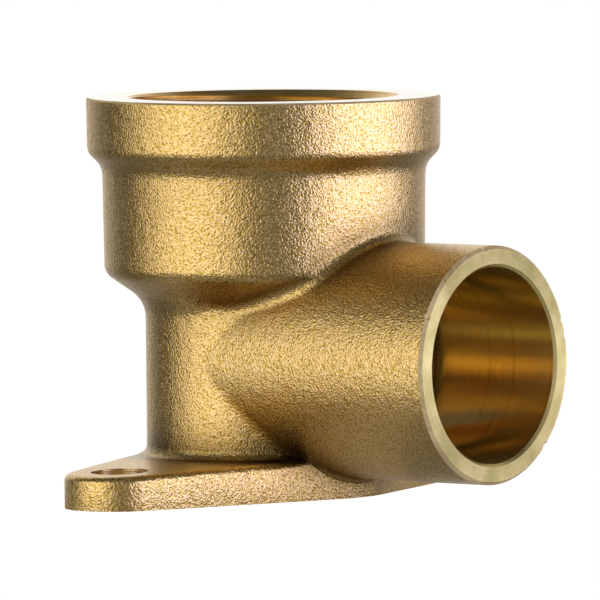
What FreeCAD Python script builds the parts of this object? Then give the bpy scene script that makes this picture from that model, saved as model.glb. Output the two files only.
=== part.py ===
import FreeCAD, Part
import math
import os

# Wall plate elbow for a water point: one brass casting with a threaded barrel, a solder socket at
# right angles to it, and a two-eared plate that is screwed to the wall.
# Frame: origin on the wall plane under the barrel's axis, +Z out of the wall, +X along the socket.
# Lengths are millimetres and angles degrees.

# Barrel and collar
overall_height = 30.7
collar_diameter = 27.4
collar_band = 4.2
collar_corner_radius = 1.0
collar_root_radius = 1.7
collar_edge_break = 0.15
barrel_diameter = 25.0
shoulder_height = 17.15
shoulder_slope = 35.0
shoulder_radius = 1.2
casting_draft = 0.8

# Female thread, parallel 1/2 inch pipe thread, bored to its minor diameter
thread_minor_diameter = 18.631
thread_mouth_diameter = 21.0
thread_floor_drop = 0.15
drill_point_angle = 118.0

# Neck, which stands a little proud of the socket tube, and the waterway in it
neck_step = 0.1
neck_waterway_diameter = 13.5

# Solder socket for 15 mm copper tube
socket_axis_height = 10.6
socket_reach = 22.5
socket_outer_diameter = 18.3
socket_bore_diameter = 15.1
socket_depth = 11.5
socket_waterway_diameter = 13.2
socket_lead_in_width = 0.2
socket_lead_in_depth = 0.2
socket_edge_break = 0.25

# Wall plate
screw_spacing = 35.6
screw_hole_diameter = 4.4
ear_radius = 4.2
ear_thickness = 2.75
plate_slope = 2.3
plate_lip = 0.3
plate_edge_radius = 0.55
plate_foot_radius = 0.8

# Casting fillets: between neck and socket tube, from the tube's top to its underside, and under the
# barrel, from the neck's back to the tube's top
neck_blend_radius = 4.0
wall_blend_radius = 1.2
neck_root_radius = 2.5
barrel_crease_radius = 1.0

# How far a cutter runs past the face it opens, and how close an edge lies to a skin it is on
cutter_overrun = 1.0
skin_tolerance = 0.001

collar_radius = collar_diameter / 2
barrel_radius = barrel_diameter / 2
thread_minor_radius = thread_minor_diameter / 2
thread_mouth_radius = thread_mouth_diameter / 2
neck_waterway_radius = neck_waterway_diameter / 2
socket_outer_radius = socket_outer_diameter / 2
neck_radius = socket_outer_radius + neck_step
socket_bore_radius = socket_bore_diameter / 2
socket_waterway_radius = socket_waterway_diameter / 2
screw_hole_radius = screw_hole_diameter / 2
screw_offset = screw_spacing / 2
waist_radius = neck_radius + plate_lip
thread_floor = shoulder_height - thread_floor_drop
draft = math.tan(math.radians(casting_draft))
collar_foot = overall_height - collar_band
collar_foot_radius = collar_radius - collar_band * draft
barrel_top = collar_foot - (collar_foot_radius - barrel_radius)
barrel_foot_radius = barrel_radius - (barrel_top - shoulder_height) * draft
shoulder_fall = math.tan(math.radians(shoulder_slope))
neck_top = shoulder_height - (barrel_foot_radius - neck_radius) * shoulder_fall

UP = FreeCAD.Vector(0, 0, 1)
ALONG_SOCKET = FreeCAD.Vector(1, 0, 0)
ACROSS = FreeCAD.Vector(0, 1, 0)
BARREL_FOOT = FreeCAD.Vector(0, 0, 0)
SOCKET_CENTRE = FreeCAD.Vector(0, 0, socket_axis_height)


def at(x, y, z):
    return FreeCAD.Vector(x, y, z)


def corner_arc(before, corner, after, radius):
    """Start, middle and end of the arc that rounds a corner, kept within half of each side."""
    back = before - corner
    ahead = after - corner
    half_angle = back.getAngle(ahead) / 2
    longest = min(back.Length, ahead.Length) / 2
    reach = min(radius / math.tan(half_angle), longest)
    back.normalize()
    ahead.normalize()
    inward = (back + ahead).normalize()
    to_centre = reach / math.cos(half_angle)
    to_arc = to_centre - reach * math.tan(half_angle)
    return corner + back * reach, corner + inward * to_arc, corner + ahead * reach


def turned(corners):
    """A solid turned about Z from (radius, height, corner radius) points that go round its section."""
    points = [at(radius, 0, height) for radius, height, rounding in corners]
    stretches = []
    for index, (radius, height, rounding) in enumerate(corners):
        corner = points[index]
        if rounding == 0:
            stretches.append([corner])
        else:
            following = points[(index + 1) % len(points)]
            stretches.append(corner_arc(points[index - 1], corner, following, rounding))
    edges = []
    for index, stretch in enumerate(stretches):
        if len(stretch) > 1:
            edges.append(Part.Arc(*stretch).toShape())
        next_start = stretches[(index + 1) % len(stretches)][0]
        if stretch[-1].distanceToPoint(next_start) > Part.Precision.confusion():
            edges.append(Part.makeLine(stretch[-1], next_start))
    section = Part.Face(Part.Wire(edges))
    return section.revolve(BARREL_FOOT, UP, 360)


def barrel():
    """Collar and barrel, with the sloping shoulder that runs in to the axis inside the neck."""
    return turned([
        (0, overall_height, 0),
        (collar_radius - collar_edge_break, overall_height, 0),
        (collar_radius, overall_height - collar_edge_break, 0),
        (collar_foot_radius, collar_foot, collar_corner_radius),
        (barrel_radius, barrel_top, collar_root_radius),
        (barrel_foot_radius, shoulder_height, shoulder_radius),
        (0, shoulder_height - barrel_foot_radius * shoulder_fall, 0),
    ])


def far_half(solid):
    """The half of a solid beyond the plane through both bores."""
    span = 2 * (overall_height + socket_reach + screw_spacing)
    return solid.common(Part.makeBox(span, span, span, at(-span / 2, 0, -span / 2)))


def blended(solid, edges, radius_at):
    """A solid with edges filleted by a radius that changes with the height of their ends."""
    document = FreeCAD.newDocument()
    rough = document.addObject("Part::Feature", "Rough")
    rough.Shape = solid
    fillet = document.addObject("Part::Fillet", "Blend")
    fillet.Base = rough
    rows = []
    for number, edge in enumerate(solid.Edges, start=1):
        if any(edge.isSame(other) for other in edges):
            radii = [radius_at(vertex.Point.z) for vertex in edge.Vertexes]
            rows.append((number, radii[0], radii[-1]))
    fillet.Edges = rows
    document.recompute()
    return fillet.Shape


def junction_radius(height):
    """Radius of the blend between neck and tube."""
    return neck_blend_radius if height > socket_axis_height else wall_blend_radius


def crease_radius(height):
    """Radius of the fillet under the barrel, which tightens where it leaves the neck for the tube."""
    shoulder_width = (barrel_foot_radius - neck_radius) / math.cos(math.radians(shoulder_slope))
    corner_half_angle = math.radians(90 + shoulder_slope) / 2
    root_radius = min(neck_root_radius, shoulder_width / 2 * math.tan(corner_half_angle))
    on_neck = height < neck_top + skin_tolerance
    return root_radius if on_neck else barrel_crease_radius


def elbow_core():
    """Neck and socket tube with the blend between them, halved and cut off at the wall plane."""
    below_wall = socket_outer_radius + neck_blend_radius
    neck = Part.makeCylinder(neck_radius, overall_height + below_wall, BARREL_FOOT - UP * below_wall)
    tube = Part.makeCylinder(socket_outer_radius, socket_reach, SOCKET_CENTRE, ALONG_SOCKET)
    mouth_edges = [edge for edge in tube.Edges if edge.CenterOfMass.x > socket_reach - socket_edge_break]
    tube = tube.makeChamfer(socket_edge_break, mouth_edges)
    core = far_half(neck.fuse(tube)).removeSplitter()
    junction = [edge for edge in core.Edges if not isinstance(edge.Curve, (Part.Circle, Part.Line))]
    core = blended(core, junction, junction_radius)
    under = Part.makeCylinder(socket_reach + socket_outer_radius, below_wall, BARREL_FOOT, -UP)
    return core.cut(under)


def plate_outline():
    """Two round ears, with straight flanks from each that touch the round waist between them."""
    flank_angle = math.asin((waist_radius - ear_radius) / screw_offset)
    across = math.cos(flank_angle)
    along = math.sin(flank_angle)
    edges = []
    for side in (1, -1):
        waist_start = at(side * waist_radius * across, -side * waist_radius * along, 0)
        waist_front = at(side * waist_radius, 0, 0)
        waist_end = at(side * waist_radius * across, side * waist_radius * along, 0)
        ear_start = at(side * ear_radius * across, side * (screw_offset + ear_radius * along), 0)
        ear_tip = at(0, side * (screw_offset + ear_radius), 0)
        ear_end = at(-side * ear_radius * across, side * (screw_offset + ear_radius * along), 0)
        next_waist = at(-side * waist_radius * across, side * waist_radius * along, 0)
        edges.append(Part.Arc(waist_start, waist_front, waist_end).toShape())
        edges.append(Part.makeLine(waist_end, ear_start))
        edges.append(Part.Arc(ear_start, ear_tip, ear_end).toShape())
        edges.append(Part.makeLine(ear_end, next_waist))
    return Part.Face(Part.Wire(edges))


def wall_plate():
    """Plate whose top rises from the ears and sweeps up into the neck, with its upper edge rounded."""
    rise = math.tan(math.radians(plate_slope))
    brim_radius = screw_offset + 2 * ear_radius
    brim_height = ear_thickness - (brim_radius - screw_offset) * rise
    foot_height = ear_thickness + (screw_offset - neck_radius) * rise
    crown_height = foot_height + 2 * plate_foot_radius
    swept_top = turned([
        (0, 0, 0),
        (brim_radius, 0, 0),
        (brim_radius, brim_height, 0),
        (neck_radius, foot_height, plate_foot_radius),
        (neck_radius, crown_height, 0),
        (0, crown_height, 0),
    ])
    plate = plate_outline().extrude(UP * crown_height).common(swept_top)
    upper_edges = [edge for edge in plate.Edges if is_upper_edge(edge)]
    return plate.makeFillet(plate_edge_radius, upper_edges)


def is_upper_edge(edge):
    """True for the edges where the plate's upright rim meets its top."""
    middle = (edge.FirstParameter + edge.LastParameter) / 2
    point = edge.valueAt(middle)
    lies_flat = edge.tangentAt(middle).getAngle(UP) > math.radians(30)
    off_neck = math.hypot(point.x, point.y) > neck_radius + plate_lip / 2
    return lies_flat and off_neck and point.z > ear_thickness / 4


def crease_edges(joined, first, second):
    """The edges of a joined half that lie on the skins of both solids it was joined from."""
    found = []
    for edge in joined.Edges:
        middle = Part.Vertex(edge.valueAt((edge.FirstParameter + edge.LastParameter) / 2))
        gaps = [skin.distToShape(middle)[0] for skin in (first.Shells[0], second.Shells[0])]
        if max(gaps) < skin_tolerance and middle.Point.y > skin_tolerance:
            found.append(edge)
    return found


def casting():
    """The rough casting, before any hole is cored or bored in it: one half, and its mirror image."""
    core = elbow_core()
    head = far_half(barrel())
    body = core.fuse(head).removeSplitter()
    body = blended(body, crease_edges(body, core, head), crease_radius)
    body = body.fuse(far_half(wall_plate())).removeSplitter()
    return body.fuse(body.mirror(BARREL_FOOT, ACROSS)).removeSplitter()


def thread_bore():
    """Cutter for the threaded socket: mouth chamfer, bore and drill point."""
    mouth_depth = thread_mouth_radius - thread_minor_radius
    point_length = thread_minor_radius / math.tan(math.radians(drill_point_angle / 2))
    return turned([
        (0, overall_height + cutter_overrun, 0),
        (thread_mouth_radius, overall_height + cutter_overrun, 0),
        (thread_mouth_radius, overall_height, 0),
        (thread_minor_radius, overall_height - mouth_depth, 0),
        (thread_minor_radius, thread_floor, 0),
        (0, thread_floor - point_length, 0),
    ])


def waterway():
    """Cutter for the cored passage: down the neck, round a mitred corner and out to the socket."""
    depth = thread_floor - socket_axis_height
    down = Part.makeCylinder(neck_waterway_radius, depth, SOCKET_CENTRE)
    out = Part.makeCylinder(socket_waterway_radius, socket_reach, SOCKET_CENTRE, ALONG_SOCKET)
    below = Part.makeCylinder(neck_waterway_radius, socket_waterway_radius, SOCKET_CENTRE, -UP)
    behind = Part.makeCylinder(socket_waterway_radius, neck_waterway_radius, SOCKET_CENTRE, -ALONG_SOCKET)
    return down.fuse([out, below.common(behind)])


def socket_bore():
    """Cutter for the tube socket down to its stop, with the shallow lead-in at the mouth."""
    stop = SOCKET_CENTRE + ALONG_SOCKET * (socket_reach - socket_depth)
    bore = Part.makeCylinder(socket_bore_radius, socket_depth + cutter_overrun, stop, ALONG_SOCKET)
    lead_in_start = SOCKET_CENTRE + ALONG_SOCKET * (socket_reach - socket_lead_in_depth)
    lead_in = Part.makeCone(
        socket_bore_radius,
        socket_bore_radius + socket_lead_in_width,
        socket_lead_in_depth,
        lead_in_start,
        ALONG_SOCKET,
    )
    return bore.fuse(lead_in)


def screw_holes():
    """Cutters for the two wall screws."""
    length = ear_thickness + plate_foot_radius + 2 * cutter_overrun
    return [
        Part.makeCylinder(screw_hole_radius, length, at(0, side * screw_offset, -cutter_overrun))
        for side in (1, -1)
    ]


elbow = casting().cut([thread_bore(), waterway(), socket_bore()] + screw_holes()).removeSplitter()
os.makedirs("parts", exist_ok=True)
elbow.exportStep("parts/wall_plate_elbow.step")
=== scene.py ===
import math

import bmesh
import bpy
from mathutils import Matrix, Vector


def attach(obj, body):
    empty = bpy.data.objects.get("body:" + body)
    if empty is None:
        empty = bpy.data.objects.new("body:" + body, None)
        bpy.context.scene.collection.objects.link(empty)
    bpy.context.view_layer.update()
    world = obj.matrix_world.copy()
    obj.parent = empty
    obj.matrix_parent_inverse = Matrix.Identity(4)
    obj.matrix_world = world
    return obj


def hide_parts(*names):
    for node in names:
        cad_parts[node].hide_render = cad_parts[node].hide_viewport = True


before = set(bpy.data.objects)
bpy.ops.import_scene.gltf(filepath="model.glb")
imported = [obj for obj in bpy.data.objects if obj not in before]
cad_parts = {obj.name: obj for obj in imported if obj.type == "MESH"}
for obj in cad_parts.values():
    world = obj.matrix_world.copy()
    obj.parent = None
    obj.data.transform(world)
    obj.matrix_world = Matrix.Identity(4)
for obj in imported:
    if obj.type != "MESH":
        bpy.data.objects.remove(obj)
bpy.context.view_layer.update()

# The casting: barrel, neck, socket tube and eared plate, poured in one piece of brass.
# The solid gives its whole form, so the piece starts as a closed copy of that solid's skin.
MM = 0.001

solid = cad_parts["wall_plate_elbow"]
elbow = bpy.data.objects.new("elbow", bpy.data.meshes.new("elbow"))
bpy.context.scene.collection.objects.link(elbow)
skin = bmesh.new()
skin.from_mesh(solid.data)
bmesh.ops.remove_doubles(skin, verts=skin.verts, dist=0.001 * MM)
skin.to_mesh(elbow.data)
skin.free()
stored_normals = elbow.data.attributes.get("custom_normal")
if stored_normals:
    elbow.data.attributes.remove(stored_normals)


# The thread: a parallel pipe thread with 55 degree flanks, tapped into the barrel after casting.
# A cutter with the groove's section winds up the bore and out at the mouth, and shallows at the bottom.
thread_pitch = 1.814 * MM
thread_bottom = 18.4 * MM
thread_turns = 8
steps_in_a_turn = 60
runout_steps = 45
runout_depth = 1.25 * MM
# Radius and height of each corner, in millimetres
groove_section = [
    (9.05, -0.894), (10.33, -0.228), (10.4775, -0.08), (10.4775, 0.08), (10.33, 0.228), (9.05, 0.894),
]

tap = bmesh.new()
corners = [tap.verts.new((radius * MM, 0, thread_bottom + height * MM)) for radius, height in groove_section]
sides = [tap.edges.new((corner, corners[index - 1])) for index, corner in enumerate(corners)]
bmesh.ops.spin(
    tap, geom=corners + sides, cent=(0, 0, 0), axis=(0, 0, 1), dvec=(0, 0, thread_pitch / steps_in_a_turn),
    angle=2 * math.pi * thread_turns, steps=steps_in_a_turn * thread_turns,
)
tap.verts.ensure_lookup_table()
for index, vertex in enumerate(tap.verts):
    shallow = max(0.0, 1 - (index // len(corners)) / runout_steps) * runout_depth
    radius = vertex.co.xy.length
    vertex.co.xy *= (radius - shallow) / radius
bmesh.ops.holes_fill(tap, edges=[edge for edge in tap.edges if edge.is_boundary])
bmesh.ops.recalc_face_normals(tap, faces=tap.faces)


def cut_away(piece, cutter_mesh):
    """Takes a closed cutter out of a piece, and keeps the piece's mesh as the result."""
    mesh = bpy.data.meshes.new("cutter")
    cutter_mesh.to_mesh(mesh)
    cutter_mesh.free()
    cutter = bpy.data.objects.new("cutter", mesh)
    bpy.context.scene.collection.objects.link(cutter)
    cut = piece.modifiers.new("cut", "BOOLEAN")
    cut.operation = "DIFFERENCE"
    cut.solver = "EXACT"
    cut.object = cutter
    bpy.context.view_layer.update()
    result = bpy.data.meshes.new_from_object(piece.evaluated_get(bpy.context.evaluated_depsgraph_get()))
    piece.modifiers.clear()
    piece.data = result
    bpy.data.objects.remove(cutter)


cut_away(elbow, tap)


# Dings on the tube's mouth: small knocks that the soft brass of its outer edge took in handling.
# Each is a shallow scoop where the edge was struck, out of the end face's rim.
tube_axis_height = 10.6 * MM
tube_mouth = 22.5 * MM
tube_outer_radius = 9.15 * MM
# Turn about the tube in degrees, then radius and bite in millimetres
knocks = (
    (19.6, 0.42, 0.40), (11.9, 0.40, 0.38), (-46.1, 0.50, 0.44), (96.5, 0.48, 0.37), (152.5, 0.46, 0.36),
)

dings = bmesh.new()
for turn, size, bite in knocks:
    angle = math.radians(turn)
    clear = (size - bite) * MM
    rim = tube_outer_radius + clear
    place = Vector((tube_mouth + clear, rim * math.cos(angle), tube_axis_height + rim * math.sin(angle)))
    bmesh.ops.create_icosphere(dings, subdivisions=2, radius=size * MM, matrix=Matrix.Translation(place))
cut_away(elbow, dings)


# The finishes: blasted skin all over, with the bores, thread and end faces turned bright afterwards.
# Each is the same brass; what differs is the mark that blasting, turning or drilling leaves on it.
def brass(name, roughness):
    """A new brass finish: its material, its node tree and its shader."""
    material = bpy.data.materials.new(name)
    material.use_nodes = True
    tree = material.node_tree
    shader = tree.nodes["Principled BSDF"]
    shader.inputs["Metallic"].default_value = 1.0
    shader.inputs["Roughness"].default_value = roughness
    return material, tree, shader


def texture(tree, kind, coordinates, **settings):
    """A texture node that reads the given coordinates."""
    node = tree.nodes.new(kind)
    for key, value in settings.items():
        if key in node.inputs:
            node.inputs[key].default_value = value
        else:
            setattr(node, key, value)
    tree.links.new(coordinates, node.inputs["Vector"])
    return node


def object_coordinates(tree):
    """Where a point lies on the piece, from the shared origin."""
    return tree.nodes.new("ShaderNodeTexCoord").outputs["Object"]


def mixed(tree, first, second, share):
    """The two values added, with the second one taken by its share."""
    node = tree.nodes.new("ShaderNodeMath")
    node.operation = "MULTIPLY_ADD"
    tree.links.new(second, node.inputs[0])
    node.inputs[1].default_value = share
    tree.links.new(first, node.inputs[2])
    return node.outputs["Value"]


def tinted(tree, value, stops):
    """A colour that follows a value, through (place, colour) stops."""
    ramp = tree.nodes.new("ShaderNodeValToRGB")
    points = ramp.color_ramp.elements
    while len(points) < len(stops):
        points.new(0.5)
    for point, (place, colour) in zip(points, stops):
        point.position = place
        point.color = (*colour, 1)
    tree.links.new(value, ramp.inputs["Fac"])
    return ramp.outputs["Color"]


def embossed(tree, height, depth, under=None):
    """The surface's direction, bumped by a height of that depth on top of an earlier bump, if any."""
    bump = tree.nodes.new("ShaderNodeBump")
    bump.inputs["Distance"].default_value = depth
    tree.links.new(height, bump.inputs["Height"])
    if under:
        tree.links.new(under, bump.inputs["Normal"])
    return bump.outputs["Normal"]


def multiplied(tree, first, second):
    """Two colours multiplied."""
    node = tree.nodes.new("ShaderNodeVectorMath")
    node.operation = "MULTIPLY"
    tree.links.new(first, node.inputs[0])
    tree.links.new(second, node.inputs[1])
    return node.outputs["Vector"]


cast_skin, tree, shader = brass("cast_skin", roughness=0.29)
place = object_coordinates(tree)
swells = texture(tree, "ShaderNodeTexNoise", place, Scale=1100, Detail=2)
grain = texture(tree, "ShaderNodeTexNoise", place, Scale=6500, Detail=0.8, Roughness=0.5)
grit = texture(tree, "ShaderNodeTexVoronoi", place, feature="SMOOTH_F1", Scale=5600, Smoothness=0.35)
relief = mixed(tree, grain.outputs["Fac"], grit.outputs["Distance"], share=0.3)
rolling = embossed(tree, swells.outputs["Fac"], depth=0.05 * MM)
tree.links.new(embossed(tree, relief, 0.046 * MM, under=rolling), shader.inputs["Normal"])
skin_tone = tinted(tree, relief, [
    (0.42, (0.42, 0.27, 0.04)), (0.60, (0.67, 0.44, 0.13)), (0.78, (0.81, 0.56, 0.26)),
])
# Painted shade: the skin's colour darkens to a near-black brown in creases and hollows, the more the nearby
# metal closes over a point within 4 mm.
hollows = tree.nodes.new("ShaderNodeAmbientOcclusion")
hollows.only_local = True
hollows.samples = 8
hollows.inputs["Distance"].default_value = 4 * MM
painted_crease_shade = tinted(tree, hollows.outputs["AO"], [(0.5, (0.10, 0.09, 0.04)), (0.97, (1, 1, 1))])
tree.links.new(multiplied(tree, skin_tone, painted_crease_shade), shader.inputs["Base Color"])


def turned(name, roughness, stretch, pick, dark, bright,
           centre=(0, 0, 0), streaks=0.5, feed=6500, depth=0.006 * MM):
    """Turned brass: fine tool marks that repeat along the picked axes, measured from a centre.

    The marks spread the light across themselves, by the stretch."""
    material, tree, shader = brass(name, roughness)
    place = object_coordinates(tree)
    across = tree.nodes.new("ShaderNodeMapping")
    across.inputs["Location"].default_value = [-part * chosen for part, chosen in zip(centre, pick)]
    across.inputs["Scale"].default_value = pick
    tree.links.new(place, across.inputs["Vector"])
    shader.inputs["Anisotropic"].default_value = stretch
    tree.links.new(across.outputs["Vector"], shader.inputs["Tangent"])
    reach = tree.nodes.new("ShaderNodeVectorMath")
    reach.operation = "LENGTH"
    tree.links.new(across.outputs["Vector"], reach.inputs[0])
    marks = tree.nodes.new("ShaderNodeTexNoise")
    marks.noise_dimensions = "1D"
    marks.inputs["Scale"].default_value = feed
    marks.inputs["Detail"].default_value = 3
    tree.links.new(reach.outputs["Value"], marks.inputs["W"])
    stains = texture(tree, "ShaderNodeTexNoise", place, Scale=420, Detail=4)
    tone = mixed(tree, stains.outputs["Fac"], marks.outputs["Fac"], share=streaks)
    tint = tinted(tree, tone, [(0.35 * (1 + streaks), dark), (0.65 * (1 + streaks), bright)])
    tree.links.new(tint, shader.inputs["Base Color"])
    tree.links.new(embossed(tree, marks.outputs["Fac"], depth), shader.inputs["Normal"])
    return material


collar_face = turned(
    "collar_face", roughness=0.3, stretch=0.6, pick=(1, 1, 0),
    dark=(0.84, 0.65, 0.34), bright=(0.94, 0.78, 0.48),
)
oil_film = collar_face.node_tree.nodes["Principled BSDF"].inputs
oil_film["Coat Weight"].default_value = 1.0
oil_film["Coat Roughness"].default_value = 0.12
tube_face = turned(
    "tube_face", roughness=0.52, stretch=0.97, pick=(0, 1, 1), centre=(0, 0, tube_axis_height),
    dark=(0.60, 0.48, 0.15), bright=(0.88, 0.72, 0.28), streaks=0.2, depth=0.002 * MM,
)
thread_wall = turned(
    "thread_wall", roughness=0.26, stretch=0.0, pick=(0, 0, 1),
    dark=(0.70, 0.44, 0.13), bright=(0.86, 0.60, 0.24),
)
socket_wall = turned(
    "socket_wall", roughness=0.22, stretch=0.9, pick=(1, 0, 0),
    dark=(0.84, 0.58, 0.15), bright=(1.00, 0.80, 0.30), streaks=1.2, feed=3000, depth=0.012 * MM,
)
drilled_wall = turned(
    "drilled_wall", roughness=0.2, stretch=0.3, pick=(0, 0, 1),
    dark=(0.84, 0.64, 0.32), bright=(0.95, 0.78, 0.46),
)
rubbed_edge = turned(
    "rubbed_edge", roughness=0.7, stretch=0.0, pick=(1, 1, 1),
    dark=(0.66, 0.50, 0.22), bright=(0.96, 0.78, 0.42),
)
finishes = [cast_skin, collar_face, tube_face, thread_wall, socket_wall, drilled_wall, rubbed_edge]
CAST, COLLAR_FACE, TUBE_FACE, THREAD_WALL, SOCKET_WALL, DRILLED_WALL, RUBBED_EDGE = range(len(finishes))

barrel_top = 30.7 * MM
collar_edge_height = barrel_top - 0.16 * MM
collar_edge_radius = 12.5 * MM
thread_reach = 11.5 * MM
barrel_foot = 12 * MM
tube_edge = tube_mouth - 0.34 * MM
tube_face_radius = 7.72 * MM
socket_radius = 7.7 * MM
socket_floor = 10.9 * MM
waterway_radius = 6.75 * MM
mitre_reach = 6.9 * MM
screw_offset = 17.8 * MM
screw_hole_reach = 2.25 * MM


def finish_at(point, normal):
    """Which finish the metal has at a point of the skin."""
    from_barrel_axis = point.xy.length
    from_tube_axis = Vector((point.y, point.z - tube_axis_height)).length
    from_screw_axis = Vector((point.x, abs(point.y) - screw_offset)).length
    if point.z > collar_edge_height and normal.z > 0.9:
        return COLLAR_FACE
    if point.z > collar_edge_height and from_barrel_axis > collar_edge_radius:
        return RUBBED_EDGE
    faces_in = normal.xy.dot(point.xy) < 0
    if faces_in and from_barrel_axis < thread_reach and point.z > barrel_foot:
        return THREAD_WALL
    if point.x > tube_edge and from_tube_axis > tube_face_radius:
        return TUBE_FACE if normal.x > 0.9 else RUBBED_EDGE
    on_stop = normal.x > 0.9 and point.x < tube_mouth - 1 * MM and from_tube_axis < socket_radius
    if on_stop:
        return CAST
    in_socket = from_tube_axis < socket_radius and point.x > socket_floor
    in_waterway = from_tube_axis < waterway_radius and (point.x > 0 or from_barrel_axis < mitre_reach)
    if in_socket or in_waterway:
        return SOCKET_WALL
    if from_screw_axis < screw_hole_reach:
        return DRILLED_WALL
    return CAST


for finish in finishes:
    elbow.data.materials.append(finish)
for polygon in elbow.data.polygons:
    polygon.material_index = finish_at(polygon.center, polygon.normal)
    polygon.use_smooth = True
elbow.data.set_sharp_from_angle(angle=math.radians(32))
smoothing = elbow.modifiers.new("smoothing", "WEIGHTED_NORMAL")
smoothing.keep_sharp = True
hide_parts("wall_plate_elbow")
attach(elbow, "root")


# The studio: a small white paper plinth under the part, bright paper behind it and a dim room in front.
# On each side of the camera stands a wide soft lamp with a brighter core; the right one is daylight.
to_camera = Vector((0.6289, -0.7775, 0))
to_left = Vector((-0.7775, -0.6289, 0))
plinth_size = (0.030, 0.054, 1)

plinth = bmesh.new()
bmesh.ops.create_grid(plinth, x_segments=1, y_segments=1, size=0.5)
bmesh.ops.scale(plinth, verts=plinth.verts, vec=plinth_size)
floor = bpy.data.objects.new("plinth", bpy.data.meshes.new("plinth"))
plinth.to_mesh(floor.data)
plinth.free()
bpy.context.scene.collection.objects.link(floor)

paper = bpy.data.materials.new("white_paper")
paper.use_nodes = True
tree = paper.node_tree
shader = tree.nodes["Principled BSDF"]
shader.inputs["Base Color"].default_value = (0.6, 0.6, 0.6, 1)
shader.inputs["Specular IOR Level"].default_value = 0
shader.inputs["Emission Color"].default_value = (1, 1, 1, 1)
rays = tree.nodes.new("ShaderNodeLightPath")
seen = tree.nodes.new("ShaderNodeMath")
seen.operation = "MAXIMUM"
tree.links.new(rays.outputs["Is Camera Ray"], seen.inputs[0])
tree.links.new(rays.outputs["Is Transmission Ray"], seen.inputs[1])
mirrored = tree.nodes.new("ShaderNodeMath")
mirrored.operation = "MULTIPLY"
mirrored.inputs[1].default_value = 0.15
tree.links.new(rays.outputs["Is Glossy Ray"], mirrored.inputs[0])
glow = mixed(tree, mirrored.outputs["Value"], seen.outputs["Value"], share=0.95)
tree.links.new(glow, shader.inputs["Emission Strength"])
floor.data.materials.append(paper)

world = bpy.data.worlds.new("studio")
bpy.context.scene.world = world
world.use_nodes = True
tree = world.node_tree
room = tree.nodes["Background"]
direction = tree.nodes.new("ShaderNodeTexCoord").outputs["Generated"]


def seen_towards(way, levels):
    """How bright the room is, through (nearness to a way, level) stops."""
    nearness = tree.nodes.new("ShaderNodeVectorMath")
    nearness.operation = "DOT_PRODUCT"
    nearness.inputs[1].default_value = way
    tree.links.new(direction, nearness.inputs[0])
    greys = [(place, (level, level, level)) for place, level in levels]
    return tinted(tree, nearness.outputs["Value"], greys)


to_paper = Vector((0, 0, 0.34)) - to_camera * 0.94
paper_behind = seen_towards(to_paper, [(0.0, 0.17), (0.3, 0.06), (0.5, 0.08), (0.75, 0.45), (0.93, 1.0)])
table_below = seen_towards((0, 0, -1), [(0.2, 0.0), (0.7, 0.2)])
room_level = tree.nodes.new("ShaderNodeMix")
room_level.data_type = "RGBA"
room_level.blend_type = "LIGHTEN"
room_level.inputs["Factor"].default_value = 1
tree.links.new(paper_behind, room_level.inputs["A"])
tree.links.new(table_below, room_level.inputs["B"])
rays = tree.nodes.new("ShaderNodeLightPath")
shown = tree.nodes.new("ShaderNodeMix")
shown.data_type = "RGBA"
shown.inputs["B"].default_value = (1, 1, 1, 1)
tree.links.new(rays.outputs["Is Camera Ray"], shown.inputs["Factor"])
tree.links.new(room_level.outputs["Result"], shown.inputs["A"])
tree.links.new(shown.outputs["Result"], room.inputs["Color"])

lamp_distance = 0.65
lamp_aim = Vector((0, 0, 0.012))
daylight = (0.90, 0.94, 1.46)


def soft_lamp(name, turn, rise, width, height, radiance, colour=(1, 1, 1)):
    """A soft lamp turned to the left of the camera and raised by so many degrees, facing the part."""
    side = math.radians(turn)
    up = math.radians(rise)
    level = to_camera * math.cos(side) + to_left * math.sin(side)
    place = lamp_aim + (level * math.cos(up) + Vector((0, 0, math.sin(up)))) * lamp_distance
    lamp = bpy.data.lights.new(name, "AREA")
    lamp.shape = "RECTANGLE"
    lamp.size = width
    lamp.size_y = height
    lamp.color = colour
    lamp.energy = radiance * math.pi * width * height
    stand = bpy.data.objects.new(name, lamp)
    stand.location = place
    stand.rotation_euler = (lamp_aim - place).to_track_quat("-Z", "Y").to_euler()
    stand.visible_camera = False
    bpy.context.scene.collection.objects.link(stand)


soft_lamp("lamp_left", turn=55, rise=6, width=1.06, height=0.75, radiance=0.85)
soft_lamp("core_left", turn=51, rise=5, width=0.53, height=0.34, radiance=0.72)
soft_lamp("lamp_right", turn=-75, rise=0, width=1.25, height=0.75, radiance=1.0, colour=daylight)
soft_lamp("core_right", turn=-71, rise=2, width=0.86, height=0.42, radiance=1.18, colour=daylight)


# The camera: a long lens level with the tube, turned so that both mouths show.
# Its place and roll are the photograph's.
camera_place = (0.58433, -0.71815, 0.072475)
heading = math.radians(38.967)
down = math.radians(3.561)
roll = math.radians(-0.532)

camera = bpy.data.cameras.new("camera")
camera.lens = 720
camera.sensor_width = 36
camera.clip_start = 0.01
camera.clip_end = 20
viewer = bpy.data.objects.new("camera", camera)
viewer.matrix_world = (
    Matrix.Translation(camera_place)
    @ Matrix.Rotation(heading, 4, "Z")
    @ Matrix.Rotation(math.pi / 2 - down, 4, "X")
    @ Matrix.Rotation(roll, 4, "Z")
)
bpy.context.scene.collection.objects.link(viewer)
bpy.context.scene.camera = viewer
bpy.context.scene.view_settings.view_transform = "Standard"
